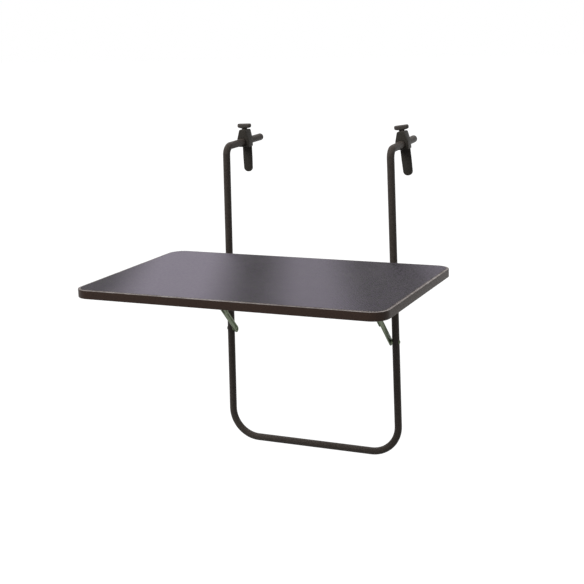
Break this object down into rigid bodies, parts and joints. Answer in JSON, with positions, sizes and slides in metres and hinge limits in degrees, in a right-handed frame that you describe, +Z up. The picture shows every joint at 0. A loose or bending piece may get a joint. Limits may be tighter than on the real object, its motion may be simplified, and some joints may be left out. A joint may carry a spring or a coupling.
{
  "type": "balcony railing table",
  "caption": "Small folding table that hangs on a balcony handrail by two hooked tube arms with screw clamps; its expanded-metal top folds down on hinged stays.",
  "frame": {"origin": "top front edge line of the handrail, midway between the arms: Y = 0 is the handrail's front face and the backs of the legs, Z = 0 is where the arms leave the handrail's top", "axes": "+X along the handrail to the right as the user faces it, +Y over the handrail away from the user, +Z up"},
  "size_m": [0.6, 0.5466, 0.6598],
  "materials": {
    "frame_coat": "satin",
    "mesh_coat": "satin",
    "zinc_steel": "satin",
    "black_plastic": "matte"
  },
  "bodies": {
    "frame": {"u_frame_tube": "frame_coat", "arm_caps": "black_plastic", "hinge_pins": "zinc_steel", "stay_foot_rivets": "zinc_steel", "stay_foot_spacers": "zinc_steel"},
    "tabletop": {"top_rim": "frame_coat", "mesh_panel": "mesh_coat", "under_bar_left": "frame_coat", "under_bar_right": "frame_coat", "hinge_ear_left": "frame_coat", "hinge_ear_right": "frame_coat", "stay_bracket_left": "frame_coat", "stay_bracket_right": "frame_coat", "stay_head_rivets": "zinc_steel"},
    "lower_link_left": {"stay_lower_link_left": "zinc_steel", "knee_spacer_left": "zinc_steel", "knee_rivet_left": "zinc_steel"},
    "upper_link_left": {"stay_upper_link_left": "zinc_steel", "knee_rivet_head_left": "zinc_steel"},
    "jaw_left": {"clamp_jaw_left": "black_plastic", "clamp_nut_left": "zinc_steel"},
    "screw_left": {"clamp_screw_left": "zinc_steel"},
    "knob_left": {"clamp_knob_left": "black_plastic"},
    "lower_link_right": {"stay_lower_link_right": "zinc_steel", "knee_spacer_right": "zinc_steel", "knee_rivet_right": "zinc_steel"},
    "upper_link_right": {"stay_upper_link_right": "zinc_steel", "knee_rivet_head_right": "zinc_steel"},
    "jaw_right": {"clamp_jaw_right": "black_plastic", "clamp_nut_right": "zinc_steel"},
    "screw_right": {"clamp_screw_right": "zinc_steel"},
    "knob_right": {"clamp_knob_right": "black_plastic"}
  },
  "joints": [
    {"name": "tabletop_fold", "type": "hinge", "parent": "frame", "child": "tabletop", "pos_m": [0, -0.007, -0.2335], "axis": [1, 0, 0], "range_deg": [0, 90]},
    {"name": "stay_foot_pivot_left", "type": "hinge", "parent": "frame", "child": "lower_link_left", "pos_m": [-0.171, -0.007, -0.3715], "axis": [1, 0, 0], "range_deg": [-45, 0]},
    {"name": "stay_head_pivot_left", "type": "hinge", "parent": "tabletop", "child": "upper_link_left", "pos_m": [-0.1663, -0.145, -0.2335], "axis": [1, 0, 0], "range_deg": [0, 45]},
    {"name": "stay_foot_pivot_right", "type": "hinge", "parent": "frame", "child": "lower_link_right", "pos_m": [0.171, -0.007, -0.3715], "axis": [1, 0, 0], "range_deg": [-45, 0]},
    {"name": "stay_head_pivot_right", "type": "hinge", "parent": "tabletop", "child": "upper_link_right", "pos_m": [0.1663, -0.145, -0.2335], "axis": [1, 0, 0], "range_deg": [0, 45]},
    {"name": "clamp_slide_left", "type": "slide", "parent": "frame", "child": "jaw_left", "axis": [0.0244, 0.9992, 0.0314], "range_m": [-0.052, 0.038]},
    {"name": "screw_lift_left", "type": "slide", "parent": "jaw_left", "child": "screw_left", "axis": [-0.0008, -0.0314, 0.9995], "range_m": [0, 0.003]},
    {"name": "knob_turn_left", "type": "hinge", "parent": "screw_left", "child": "knob_left", "pos_m": [-0.17287, 0.07406, 0.03935], "axis": [-0.0008, -0.0314, 0.9995], "range_deg": [0, 1080]},
    {"name": "clamp_slide_right", "type": "slide", "parent": "frame", "child": "jaw_right", "axis": [-0.0244, 0.9992, 0.0314], "range_m": [-0.052, 0.038]},
    {"name": "screw_lift_right", "type": "slide", "parent": "jaw_right", "child": "screw_right", "axis": [-0.1037, -0.0338, 0.994], "range_m": [0, 0.003]},
    {"name": "knob_turn_right", "type": "hinge", "parent": "screw_right", "child": "knob_right", "pos_m": [0.16973, 0.07399, 0.03918], "axis": [-0.1037, -0.0338, 0.994], "range_deg": [0, 1080]}
  ],
  "couplings": [
    {"joint": "stay_foot_pivot_left", "follows": "tabletop_fold", "ratio": -0.5},
    {"joint": "stay_head_pivot_left", "follows": "tabletop_fold", "ratio": 0.5},
    {"joint": "stay_foot_pivot_right", "follows": "tabletop_fold", "ratio": -0.5},
    {"joint": "stay_head_pivot_right", "follows": "tabletop_fold", "ratio": 0.5},
    {"joint": "screw_lift_left", "follows": "knob_turn_left", "m_per_rad": 0.00015915},
    {"joint": "screw_lift_right", "follows": "knob_turn_right", "m_per_rad": 0.00015915}
  ]
}
